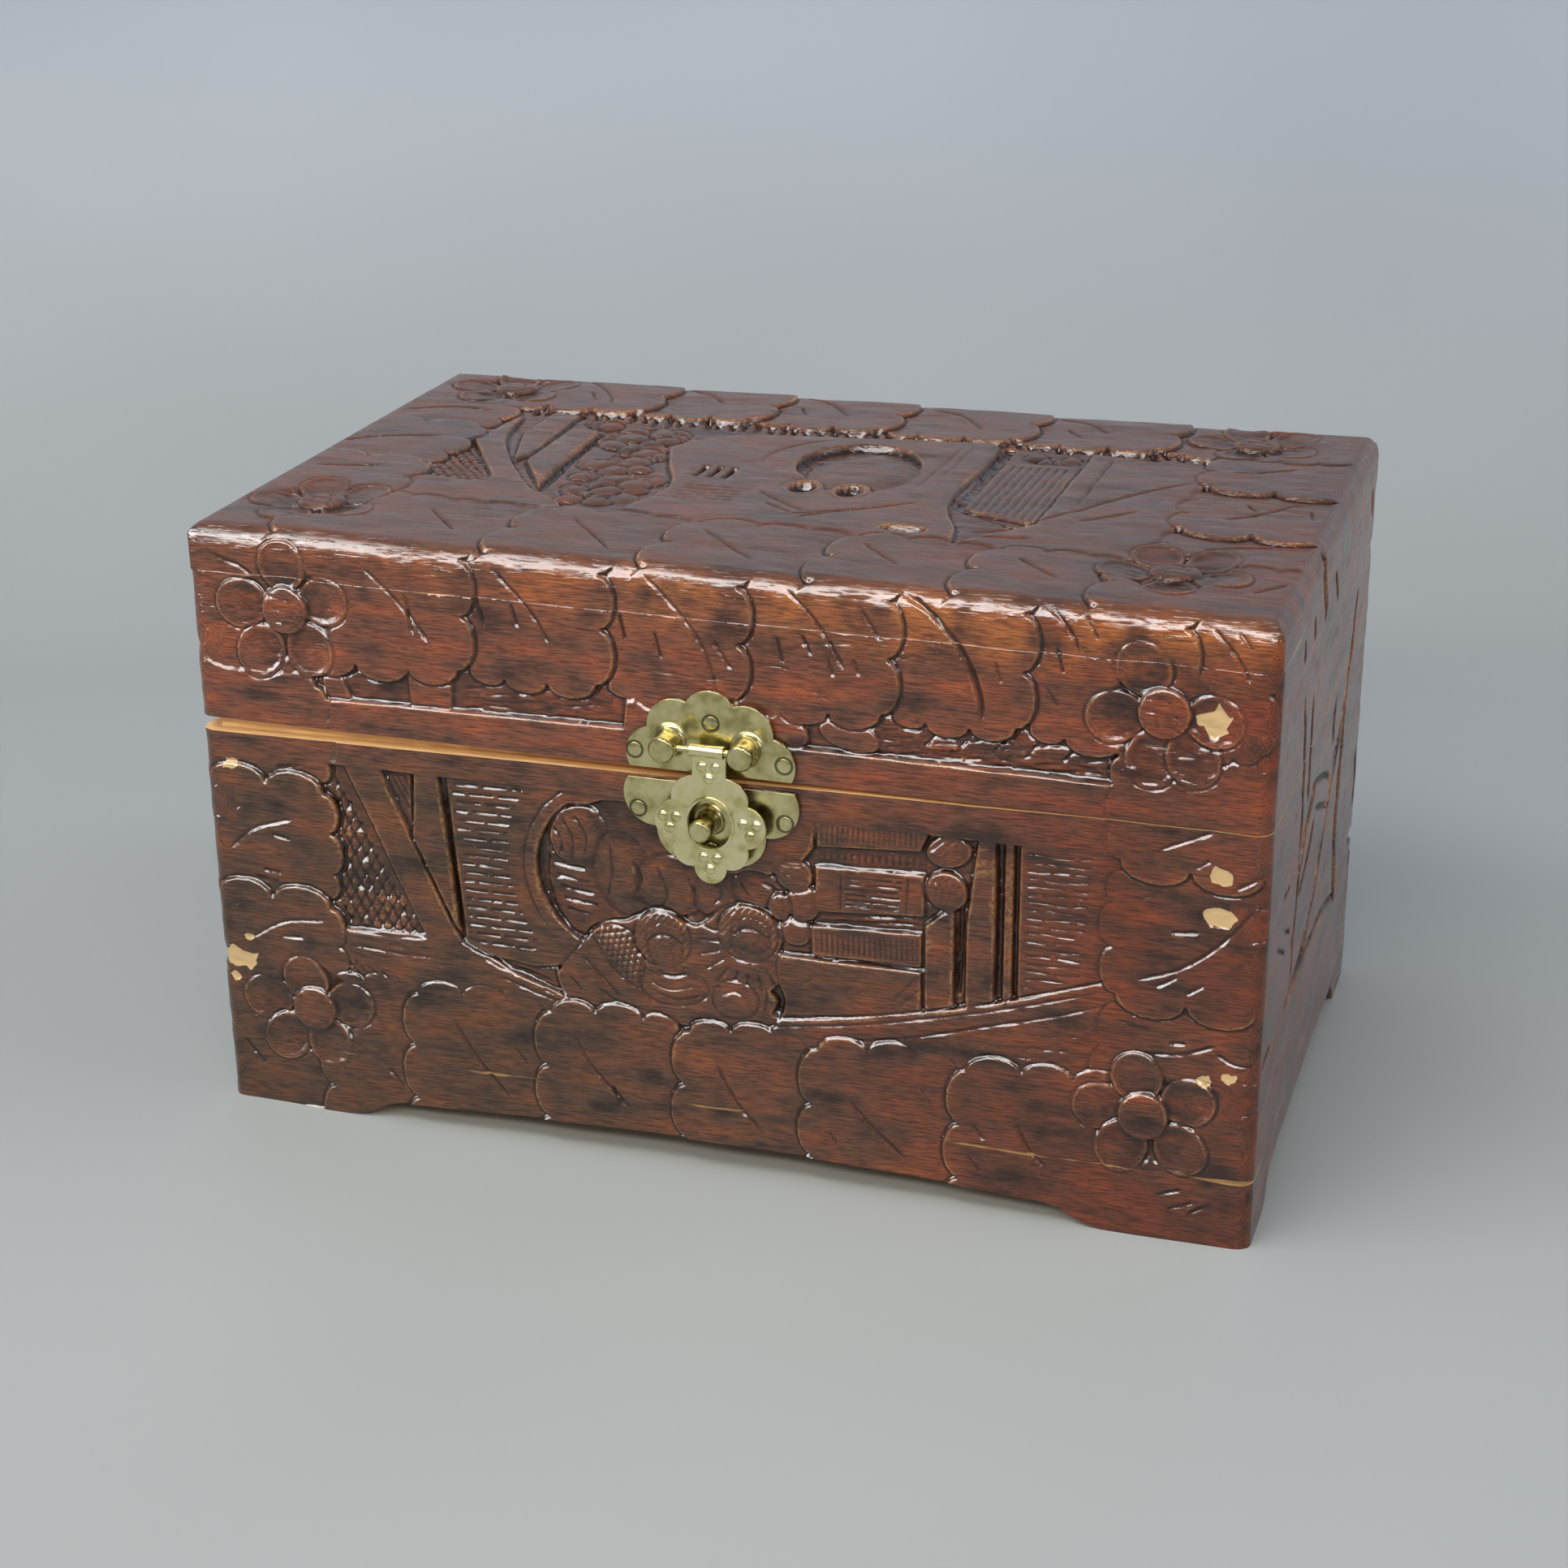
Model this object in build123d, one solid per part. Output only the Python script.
from build123d import *
from math import cos, radians, sin, sqrt, tan
import os

# Keepsake box in carved camphor wood with a brass hasp latch.
# Millimetres.  X runs along the front, the front faces -Y, Z is up, and the
# origin is on the table under the middle of the whole outline.

# ---- carcase -------------------------------------------------------------
box_width = 305.0
box_depth = 188.0
plinth_height = 20.0
body_height = 101.0             # plinth top to parting line, at the back
lid_rail_height = 43.2
lid_board_thickness = 14.0
panel_thickness = 10.0          # body panels and lid rails
bottom_thickness = 6.0
bottom_ledge = 4.0              # plinth stands in under the bottom board
corner_radius = 5.0             # upright outer corners
top_arris_radius = 7.0
parting_gap = 0.3

# the front edge of the body was planed low towards the left
edge_drop = 4.0
edge_drop_run = 258.0           # from the left end to where the edge is full height

# ---- dovetailed corners --------------------------------------------------
body_pin_count = 2
lid_pin_count = 1
pin_height_outside = 8.6        # at the outer end of the tails
pin_height_inside = 11.2        # at the foot of the tails

# ---- lipping that locates the lid ----------------------------------------
lip_thickness = 5.0
lip_seat = 10.0                 # let down into the body panels
lip_rise = 5.0                  # stands above the body
lip_clearance = 0.3

# ---- bracket feet --------------------------------------------------------
foot_width = 38.0               # flat under each foot, along the front
ogee_width = 25.0
arch_height = 6.2               # where the ogee ends
arch_crown = 8.8                # middle of the apron
end_foot_width = 24.0
end_ogee_width = 14.0
end_arch_height = 8.8
end_arch_crown = 10.0

# ---- lock plates ---------------------------------------------------------
latch_offset = 2.0              # the latch sits a little right of the middle
plate_thickness = 1.2
plate_notch_radius = 22.0
lid_plate_radius = 24.8
body_plate_radius = 26.3
lid_plate_scallops = 5
body_plate_scallops = 4
plate_edge_margin = 0.4         # plate edge back from the wood edge

# ---- hasp posts, pin and staple ------------------------------------------
post_spacing = 22.0
post_height = 9.2               # pin axis above the parting line
post_radius = 3.65
post_foot_radius = 5.2
post_foot_height = 2.2
post_reach = 9.6                # wood face to post end
post_chamfer = 0.8
pivot_reach = 6.0               # wood face to pin axis
hasp_pin_radius = 0.85
hasp_pin_inset = 0.3            # pin ends inside the posts' outer sides
tail_radius = 1.5               # rivet tail through plate and wood
tail_length = 6.0
staple_drop = 12.2              # staple axis below the parting line
staple_radius = 3.1
staple_reach = 11.5
staple_eye_radius = 1.5
staple_eye_reach = 8.2          # wood face to the eye's axis
fit_clearance = 0.08            # radial, round pins and tails

# ---- hasp ----------------------------------------------------------------
hasp_offset = 1.0               # hangs against the right-hand post
hasp_thickness = 0.8
hasp_neck_width = 9.6
hasp_drop = 21.4                # pin axis to the middle of the eye
hasp_shoulder_height = 13.6     # middle of the eye to the foot of the neck
hasp_eye_across = 12.2           # the eye is an upright oval
hasp_eye_height = 14.0
hasp_rim_width = 0.9
hasp_rim_height = 0.5
boss_radius = 1.65
boss_height = 0.8
boss_root = 0.3                 # domes are raised from inside the sheet
boss_spread = 2.2               # each boss from the middle of its cluster of three
side_cluster_reach = 11.4
bottom_cluster_reach = 10.9
neck_cluster_reach = 15.3
# petal edge: angle and radius about the eye of each notch and tip, right half,
# from the bottom petal up to the neck
petal_tips = ((-90.0, 17.3), (-50.0, 14.6), (0.0, 15.8), (46.0, 14.4))
petal_notches = ((-70.0, 13.5), (-30.0, 12.2), (29.0, 12.4))

# ---- nails and screws ----------------------------------------------------
nail_head_radius = 2.1
nail_head_thickness = 0.35
nail_shank_half = 0.6           # half the side of its square shank
nail_length = 4.5               # stops short of the lipping
screw_head_radius = 1.9
screw_shank_radius = 0.9
screw_length = 7.0

# ---- butt hinges ---------------------------------------------------------
hinge_spacing = 170.0
hinge_length = 30.0
hinge_leaf_width = 8.4          # pin axis to the leaf's front edge
hinge_leaf_thickness = 1.2
hinge_barrel_radius = 2.2
hinge_pin_radius = 1.0
hinge_knuckle_gap = 0.2
hinge_inset = 1.0               # pin axis inside the back face
hinge_recess_clearance = 0.3
screw_spacing = 18.0
lid_stop_angle = 101.0          # the chamfered back edges meet just past 100

# ---- places that follow --------------------------------------------------
latch_reach = staple_reach
hinge_reach = hinge_barrel_radius - hinge_inset
front_y = latch_reach - (latch_reach + box_depth + hinge_reach) / 2
back_y = front_y + box_depth
middle_y = (front_y + back_y) / 2
half_width = box_width / 2

body_bottom = plinth_height
parting = body_bottom + body_height
lid_bottom = parting + parting_gap
board_bottom = lid_bottom + lid_rail_height
box_top = board_bottom + lid_board_thickness

inner_x = half_width - panel_thickness
inner_front = front_y + panel_thickness
inner_back = back_y - panel_thickness

axis_y = back_y - hinge_inset
axis_z = parting + parting_gap / 2

latch_x = latch_offset
plate_centre_z = parting - 0.5
plate_front = front_y - plate_thickness
pivot_y = front_y - pivot_reach
pivot_z = parting + post_height
hasp_x = latch_x + hasp_offset
hasp_eye_z = pivot_z - hasp_drop
staple_z = parting - staple_drop


def block(x0, x1, y0, y1, z0, z1):
    """Box between two opposite corners."""
    return Pos((x0 + x1) / 2, (y0 + y1) / 2, (z0 + z1) / 2) * Box(x1 - x0, y1 - y0, z1 - z0)


def rounded_column(z0, z1):
    """The carcase outline with its rounded upright corners."""
    outline = Pos(0, middle_y) * RectangleRounded(box_width, box_depth, corner_radius)
    return Pos(0, 0, z0) * extrude(outline, z1 - z0)


def rod_y(x, z, y0, y1, radius):
    """Cylinder along Y between y0 and y1."""
    return Pos(x, (y0 + y1) / 2, z) * Rot(90, 0, 0) * Cylinder(radius, abs(y1 - y0))


def rod_x(x0, x1, y, z, radius):
    """Cylinder along X between x0 and x1."""
    return Pos((x0 + x1) / 2, y, z) * Rot(0, 90, 0) * Cylinder(radius, x1 - x0)


# ---- body and lid walls --------------------------------------------------

def dovetail_pins(z0, z1, count, clear_of):
    """Pins of the end boards, as they pass through the front or back board."""
    pins = []
    for side in (-1, 1):
        for index in range(count):
            z = z0 + (z1 - z0) * (index + 0.5) / count
            outer, inner = side * half_width, side * inner_x
            profile = make_face(Polyline(
                (outer, z - pin_height_outside / 2), (outer, z + pin_height_outside / 2),
                (inner, z + pin_height_inside / 2), (inner, z - pin_height_inside / 2), close=True))
            pin = extrude(Plane.XZ * profile, amount=panel_thickness)
            pins.append((side, Pos(0, clear_of, 0) * pin))
    return pins


def wall_ring(z0, z1, pin_count):
    """Front, back, left and right boards of a dovetailed frame."""
    outline = rounded_column(z0, z1)
    front_pins = dovetail_pins(z0, z1, pin_count, inner_front)
    back_pins = dovetail_pins(z0, z1, pin_count, back_y)
    front = outline & block(-half_width, half_width, front_y, inner_front, z0, z1)
    back = outline & block(-half_width, half_width, inner_back, back_y, z0, z1)
    left = block(-half_width, -inner_x, inner_front, inner_back, z0, z1)
    right = block(inner_x, half_width, inner_front, inner_back, z0, z1)
    for side, pin in front_pins:
        front -= pin
        if side < 0:
            left += outline & pin
        else:
            right += outline & pin
    for side, pin in back_pins:
        back -= pin
        if side < 0:
            left += outline & pin
        else:
            right += outline & pin
    return front, back, left, right


def lip_frame(grow, z0, z1):
    """U-shaped run of the lipping: front and two ends, open at the back."""
    outer_inset = panel_thickness - lip_thickness - grow
    outer = block(-half_width + outer_inset, half_width - outer_inset,
                  front_y + outer_inset, inner_back, z0, z1)
    hollow = block(-inner_x, inner_x, inner_front, inner_back, z0, z1)
    return outer - hollow


def mitre_wedge(side, z0, z1):
    """Plan wedge that one board of a mitred frame keeps."""
    run = box_depth / 2
    if side == "front":
        corners = ((-half_width, front_y), (half_width, front_y),
                   (half_width - run, middle_y), (-half_width + run, middle_y))
    elif side == "back":
        corners = ((-half_width, back_y), (half_width, back_y),
                   (half_width - run, middle_y), (-half_width + run, middle_y))
    else:
        sign = -1 if side == "left" else 1
        corners = ((sign * half_width, front_y), (sign * half_width, back_y),
                   (sign * (half_width - run), middle_y))
    return Pos(0, 0, z0) * extrude(make_face(Polyline(*corners, close=True)), z1 - z0)


def edge_planing():
    """Wood planed off the body's top edge: the front board and the left end."""
    start, full = -half_width, -half_width + edge_drop_run
    front_cut = make_face(Polyline((start - 1, parting - edge_drop * (1 + 1 / edge_drop_run)),
                                   (full, parting), (full, parting + 1),
                                   (start - 1, parting + 1), close=True))
    front_cut = extrude(Plane.XZ * front_cut, amount=panel_thickness + 1)
    front_cut = Pos(0, inner_front, 0) * front_cut
    end_cut = make_face(Polyline((inner_front, parting - edge_drop), (inner_back, parting),
                                 (inner_back, parting + 1), (inner_front, parting + 1), close=True))
    end_cut = extrude(Plane.YZ * end_cut, amount=panel_thickness + 1)
    end_cut = Pos(-half_width - 1, 0, 0) * end_cut
    return front_cut, end_cut


def back_chamfer(sign):
    """Chamfer on the back edge, above or below the hinge axis, that stops the lid."""
    reach = hinge_inset + 1
    rise = reach * tan(radians(lid_stop_angle / 2))
    profile = make_face(Polyline((axis_y, axis_z), (axis_y + reach, axis_z + sign * rise),
                                 (axis_y + reach, axis_z), close=True))
    return Pos(-half_width - 1, 0, 0) * extrude(Plane.YZ * profile, amount=box_width + 2)


# ---- plinth --------------------------------------------------------------

def bracket_arch(length, foot, ogee, shoulder, crown):
    """Space under an apron, between two ogee bracket feet, drawn along u."""
    start, end = -length / 2 + foot, length / 2 - foot
    left_ogee = Bezier((start, 0), (start + 0.55 * ogee, 0.1 * shoulder),
                       (start + 0.35 * ogee, shoulder), (start + ogee, shoulder))
    right_ogee = Bezier((end - ogee, shoulder), (end - 0.35 * ogee, shoulder),
                        (end - 0.55 * ogee, 0.1 * shoulder), (end, 0))
    apron = ThreePointArc((start + ogee, shoulder), (0, crown), (end - ogee, shoulder))
    under = Polyline((end, 0), (end, -1), (start, -1), (start, 0))
    return make_face(Wire([left_ogee, apron, right_ogee, *under.edges()]))


def plinth_strips():
    thickness = panel_thickness + bottom_ledge
    ring = rounded_column(0, plinth_height)
    ring -= block(-half_width + thickness, half_width - thickness,
                  front_y + thickness, back_y - thickness, 0, plinth_height)
    front_arch = bracket_arch(box_width, foot_width, ogee_width, arch_height, arch_crown)
    end_arch = bracket_arch(box_depth, end_foot_width, end_ogee_width,
                            end_arch_height, end_arch_crown)
    across = extrude(Plane.XZ * front_arch, amount=box_depth + 2)
    across = Pos(0, back_y + 1, 0) * across
    along = extrude(Plane.YZ * end_arch, amount=box_width + 2)
    along = Pos(-half_width - 1, middle_y, 0) * along
    strips = {}
    for side in ("front", "back", "left", "right"):
        cut = across if side in ("front", "back") else along
        strips[side] = (ring & mitre_wedge(side, 0, plinth_height)) - cut
    return strips


# ---- lid board -----------------------------------------------------------

def lid_board():
    """Top board: plan outline crossed with two rounded end profiles."""
    radius = top_arris_radius
    board = rounded_column(board_bottom, box_top)

    def profile(half):
        low, high = board_bottom, box_top
        bend = radius * (1 - sqrt(0.5))
        return make_face(Wire([
            Line((-half, low), (half, low)), Line((half, low), (half, high - radius)),
            ThreePointArc((half, high - radius), (half - bend, high - bend), (half - radius, high)),
            Line((half - radius, high), (-half + radius, high)),
            ThreePointArc((-half + radius, high), (-half + bend, high - bend), (-half, high - radius)),
            Line((-half, high - radius), (-half, low))]))

    from_front = Pos(0, back_y, 0) * extrude(Plane.XZ * profile(half_width), amount=box_depth)
    from_end = Pos(-half_width, middle_y, 0) * extrude(
        Plane.YZ * profile(box_depth / 2), amount=box_width)
    return board & from_front & from_end


# ---- lock plates ---------------------------------------------------------

def polar(centre_x, centre_z, radius, angle):
    return (centre_x + radius * cos(radians(angle)), centre_z + radius * sin(radians(angle)))


def upright_plate(outline, back, thickness):
    """Extrude a face drawn in X and Z forwards from the plane y = back."""
    return Pos(0, back, 0) * extrude(Plane.XZ * outline, amount=thickness)


def scalloped_half(start_angle, scallops, tip_radius):
    """Half round plate edged with arcs that meet in notches."""
    step = 180.0 / scallops
    edges = []
    for index in range(scallops):
        first = start_angle + index * step
        edges.append(ThreePointArc(
            polar(latch_x, plate_centre_z, plate_notch_radius, first),
            polar(latch_x, plate_centre_z, tip_radius, first + step / 2),
            polar(latch_x, plate_centre_z, plate_notch_radius, first + step)))
    edges.append(Line(polar(latch_x, plate_centre_z, plate_notch_radius, start_angle + 180),
                      polar(latch_x, plate_centre_z, plate_notch_radius, start_angle)))
    return make_face(Wire(edges))


def edge_height(x):
    """Height of the body's front top edge at x."""
    along = min(max((x + half_width) / edge_drop_run, 0.0), 1.0)
    return parting - edge_drop * (1 - along)


lid_plate_edge = lid_bottom + plate_edge_margin
body_plate_edge = edge_height(latch_x - body_plate_radius) - plate_edge_margin

# x and z of the nails in each plate
lid_nails = [(latch_x - 21.4, parting + 5.6), (latch_x + 0.4, parting + 15.2),
             (latch_x + 20.8, parting + 5.4)]
body_nails = [(latch_x - 20.8, parting - 11.4), (latch_x, parting - 21.2),
              (latch_x + 21.0, parting - 11.2)]
post_places = {"left": latch_x - post_spacing / 2, "right": latch_x + post_spacing / 2}


def nail_shank(x, z, half, start):
    return block(x - half, x + half, start, front_y + nail_length, z - half, z + half)


def nail(x, z):
    """Escutcheon nail: thin round head on the plate, square cut shank through it into the wood."""
    head = rod_y(x, z, plate_front - nail_head_thickness, plate_front, nail_head_radius)
    return head + nail_shank(x, z, nail_shank_half, plate_front)


def nail_hole(x, z):
    return nail_shank(x, z, nail_shank_half + fit_clearance, plate_front - 1)


def tail_hole(x, z):
    return rod_y(x, z, plate_front - 1, front_y + tail_length, tail_radius + fit_clearance)


# ---- posts and hasp ------------------------------------------------------

def turned_post(x, z, radius, reach):
    """Turned post with a flared foot on the plate and a riveted tail behind it."""
    stand = plate_front - (front_y - reach)          # length in front of the plate
    profile = make_face(Wire([
        Line((0, -plate_thickness - tail_length), (tail_radius, -plate_thickness - tail_length)),
        Line((tail_radius, -plate_thickness - tail_length), (tail_radius, 0)),
        Line((tail_radius, 0), (radius + post_foot_radius - post_radius, 0)),
        Bezier((radius + post_foot_radius - post_radius, 0),
               (radius, 0.2 * post_foot_height), (radius, post_foot_height)),
        Line((radius, post_foot_height), (radius, stand - post_chamfer)),
        Line((radius, stand - post_chamfer), (radius - post_chamfer, stand)),
        Line((radius - post_chamfer, stand), (0, stand)),
        Line((0, stand), (0, -plate_thickness - tail_length))]))
    body = revolve(profile, Axis.Y)
    return Pos(x, plate_front, z) * Rot(180, 0, 0) * body


def hasp_outline():
    """Seven-petal flower on a straight neck, symmetrical about the eye."""
    def point(spot, sign):
        angle, radius = spot
        x, z = polar(0, 0, radius, angle)
        return (hasp_x + sign * x, hasp_eye_z + z)

    neck = hasp_neck_width / 2
    shoulder_z = hasp_eye_z + hasp_shoulder_height

    def side_edges(sign):
        ends = [point(spot, sign) for spot in petal_notches] + [(hasp_x + sign * neck, shoulder_z)]
        arcs = [ThreePointArc(ends[index], point(petal_tips[index + 1], sign), ends[index + 1])
                for index in range(3)]
        return arcs + [Line(ends[3], (hasp_x + sign * neck, pivot_z))]

    bottom = ThreePointArc(point(petal_notches[0], -1), point(petal_tips[0], 1),
                           point(petal_notches[0], 1))
    top = Line((hasp_x + neck, pivot_z), (hasp_x - neck, pivot_z))
    return make_face(Wire([bottom, *side_edges(1), top, *reversed(side_edges(-1))]))


def boss_places():
    """Three bosses in each side petal and the bottom one, and three on the neck."""
    clusters = ((0, side_cluster_reach), (180, side_cluster_reach),
                (-90, bottom_cluster_reach), (90, neck_cluster_reach))
    places = []
    for direction, reach in clusters:
        centre = polar(hasp_x, hasp_eye_z, reach, direction)
        places += [polar(*centre, boss_spread, angle) for angle in (-90, 30, 150)]
    return places


def boss():
    """Dome raised on the sheet, with its base on the plane y = 0 facing -Y."""
    dome_radius = (boss_radius ** 2 + boss_height ** 2) / (2 * boss_height)
    half_way = boss_radius / 2
    shoulder = sqrt(dome_radius ** 2 - half_way ** 2) - (dome_radius - boss_height)
    profile = make_face(Wire([
        Line((0, -boss_root), (boss_radius, -boss_root)),
        Line((boss_radius, -boss_root), (boss_radius, 0)),
        ThreePointArc((boss_radius, 0), (half_way, shoulder), (0, boss_height)),
        Line((0, boss_height), (0, -boss_root))]))
    return Rot(180, 0, 0) * revolve(profile, Axis.Y)


def eye_oval(y0, y1, grow):
    """Oval column through the eye, from y0 forwards to y1, larger all round by grow."""
    oval = Pos(hasp_x, hasp_eye_z) * Ellipse(hasp_eye_across / 2 + grow, hasp_eye_height / 2 + grow)
    return upright_plate(oval, y0, y0 - y1)


def make_hasp():
    """Hasp cut from sheet, its neck rolled round the pin."""
    roll_bore = hasp_pin_radius + fit_clearance
    roll_outer = roll_bore + hasp_thickness
    back = pivot_y + roll_outer
    front = back - hasp_thickness
    body = upright_plate(hasp_outline(), back, hasp_thickness)
    body += rod_x(hasp_x - hasp_neck_width / 2, hasp_x + hasp_neck_width / 2,
                  pivot_y, pivot_z, roll_outer)
    body -= rod_x(hasp_x - hasp_neck_width, hasp_x + hasp_neck_width, pivot_y, pivot_z, roll_bore)
    eye = eye_oval(back + 1, front - 1, 0)
    rim = eye_oval(back - hasp_thickness / 2, front - hasp_rim_height, hasp_rim_width)
    body = body - eye + (rim - eye)
    raised = boss()
    for x, z in boss_places():
        body += Pos(x, front, z) * raised
    return body


# ---- hinges --------------------------------------------------------------

def knuckle_span(x, index):
    width = hinge_length / 3
    start = x - hinge_length / 2 + index * width
    return start + hinge_knuckle_gap / 2, start + width - hinge_knuckle_gap / 2


def hinge_leaf(x, lid_side):
    """Leaf let into the wood edge, with its own knuckles round the pin."""
    sign = 1 if lid_side else -1
    near = axis_z + sign * parting_gap / 2
    far = near + sign * hinge_leaf_thickness
    own = (1,) if lid_side else (0, 2)
    leaf = block(x - hinge_length / 2, x + hinge_length / 2, axis_y - hinge_leaf_width, axis_y,
                 min(near, far), max(near, far))
    for index in range(3):
        start, end = knuckle_span(x, index)
        if index in own:
            leaf += rod_x(start, end, axis_y, axis_z, hinge_barrel_radius)
        else:
            spare = hinge_knuckle_gap
            leaf -= rod_x(start - spare, end + spare, axis_y, axis_z,
                          hinge_barrel_radius + hinge_recess_clearance)
    leaf -= rod_x(x - hinge_length, x + hinge_length, axis_y, axis_z,
                  hinge_pin_radius + fit_clearance)
    for screw_x in (x - screw_spacing / 2, x + screw_spacing / 2):
        leaf -= screw(screw_x, lid_side, fit_clearance)
    return leaf


def screw(x, lid_side, grow=0.0):
    """Countersunk screw, head flush in the leaf; grow makes its hole."""
    sign = 1 if lid_side else -1
    face = axis_z + sign * parting_gap / 2
    head, shank = screw_head_radius + grow, screw_shank_radius + grow
    profile = make_face(Polyline((0, 0), (head, 0), (shank, head - shank), (shank, screw_length + grow),
                                 (0, screw_length + grow), close=True))
    body = revolve(Plane.XZ * profile, Axis.Z)
    y = axis_y - hinge_leaf_width * 0.62
    body = body if lid_side else Rot(180, 0, 0) * body
    return Pos(x, y, face) * body


def hinge_recess(x, lid_side):
    """Housing for one leaf and the barrel."""
    sign = 1 if lid_side else -1
    near = axis_z
    far = axis_z + sign * (parting_gap / 2 + hinge_leaf_thickness)
    pocket = block(x - hinge_length / 2, x + hinge_length / 2, axis_y - hinge_leaf_width,
                   back_y + 1, min(near, far), max(near, far))
    trough = rod_x(x - hinge_length / 2, x + hinge_length / 2, axis_y, axis_z,
                   hinge_barrel_radius + hinge_recess_clearance)
    return pocket + trough


hinge_places = {"left": -hinge_spacing / 2, "right": hinge_spacing / 2}

# ---- build the wooden parts ----------------------------------------------
parts = {}

front_panel, back_panel, left_panel, right_panel = wall_ring(body_bottom, parting, body_pin_count)
seat = lip_frame(0, parting - lip_seat, parting + 1)
front_cut, end_cut = edge_planing()
front_panel -= seat
front_panel -= front_cut
left_panel -= seat
left_panel -= end_cut
right_panel -= seat
back_panel -= back_chamfer(-1)
left_panel -= back_chamfer(-1)
right_panel -= back_chamfer(-1)

front_rail, back_rail, left_rail, right_rail = wall_ring(lid_bottom, board_bottom, lid_pin_count)
rebate = lip_frame(lip_clearance, lid_bottom - 1, parting + lip_rise + lip_clearance)
front_rail -= rebate
left_rail -= rebate
right_rail -= rebate
back_rail -= back_chamfer(1)
left_rail -= back_chamfer(1)
right_rail -= back_chamfer(1)

for place_x in hinge_places.values():
    back_panel -= hinge_recess(place_x, False)
    back_rail -= hinge_recess(place_x, True)
    for screw_x in (place_x - screw_spacing / 2, place_x + screw_spacing / 2):
        back_panel -= screw(screw_x, False, fit_clearance)
        back_rail -= screw(screw_x, True, fit_clearance)

lid_plate = upright_plate(scalloped_half(0, lid_plate_scallops, lid_plate_radius),
                          front_y, plate_thickness)
lid_plate &= block(-half_width, half_width, plate_front, front_y, lid_plate_edge, box_top)
body_plate = upright_plate(scalloped_half(180, body_plate_scallops, body_plate_radius),
                           front_y, plate_thickness)
body_plate &= block(-half_width, half_width, plate_front, front_y, 0, body_plate_edge)

for nail_x, nail_z in lid_nails:
    lid_plate -= nail_hole(nail_x, nail_z)
    front_rail -= nail_hole(nail_x, nail_z)
for nail_x, nail_z in body_nails:
    body_plate -= nail_hole(nail_x, nail_z)
    front_panel -= nail_hole(nail_x, nail_z)
for post_x in post_places.values():
    lid_plate -= tail_hole(post_x, pivot_z)
    front_rail -= tail_hole(post_x, pivot_z)
body_plate -= tail_hole(latch_x, staple_z)
front_panel -= tail_hole(latch_x, staple_z)

parts["front_panel"] = front_panel
parts["back_panel"] = back_panel
parts["left_end_panel"] = left_panel
parts["right_end_panel"] = right_panel
parts["bottom_board"] = block(-inner_x, inner_x, inner_front, inner_back,
                              body_bottom, body_bottom + bottom_thickness)
for side, strip in plinth_strips().items():
    parts[f"plinth_{side}"] = strip

lip = lip_frame(0, parting - lip_seat, parting + lip_rise)
lip &= block(-half_width, half_width, front_y, inner_back - lip_clearance,
             parting - lip_seat, parting + lip_rise)
for side in ("front", "left", "right"):
    parts[f"lipping_{side}"] = lip & mitre_wedge(side, parting - lip_seat, parting + lip_rise)

parts["lid_top_board"] = lid_board()
parts["lid_front_rail"] = front_rail
parts["lid_back_rail"] = back_rail
parts["lid_left_rail"] = left_rail
parts["lid_right_rail"] = right_rail

# ---- build the latch -----------------------------------------------------
parts["lid_lock_plate"] = lid_plate
parts["body_lock_plate"] = body_plate
parts["lid_plate_nails"] = Compound([nail(*spot) for spot in lid_nails])
parts["body_plate_nails"] = Compound([nail(*spot) for spot in body_nails])
pin_bore = rod_x(latch_x - post_spacing, latch_x + post_spacing, pivot_y, pivot_z,
                 hasp_pin_radius + fit_clearance)
for side, post_x in post_places.items():
    parts[f"hasp_post_{side}"] = turned_post(post_x, pivot_z, post_radius, post_reach) - pin_bore
pin_half = post_spacing / 2 + post_radius - hasp_pin_inset
parts["hasp_pin"] = rod_x(latch_x - pin_half, latch_x + pin_half, pivot_y, pivot_z, hasp_pin_radius)
parts["hasp"] = make_hasp()
parts["staple_post"] = turned_post(latch_x, staple_z, staple_radius, staple_reach) - rod_x(
    latch_x - post_spacing, latch_x + post_spacing, front_y - staple_eye_reach, staple_z,
    staple_eye_radius)

# ---- build the hinges ----------------------------------------------------
body_screws, lid_screws = [], []
for side, place_x in hinge_places.items():
    parts[f"hinge_body_leaf_{side}"] = hinge_leaf(place_x, False)
    parts[f"hinge_lid_leaf_{side}"] = hinge_leaf(place_x, True)
    parts[f"hinge_pin_{side}"] = rod_x(place_x - hinge_length / 2, place_x + hinge_length / 2,
                                       axis_y, axis_z, hinge_pin_radius)
    for screw_x in (place_x - screw_spacing / 2, place_x + screw_spacing / 2):
        body_screws.append(screw(screw_x, False))
        lid_screws.append(screw(screw_x, True))
parts["hinge_body_screws"] = Compound(body_screws)
parts["hinge_lid_screws"] = Compound(lid_screws)

os.makedirs("parts", exist_ok=True)
for name, shape in parts.items():
    export_step(shape, f"parts/{name}.step")
    print(name, [round(value, 2) for value in shape.bounding_box().min],
          [round(value, 2) for value in shape.bounding_box().max])
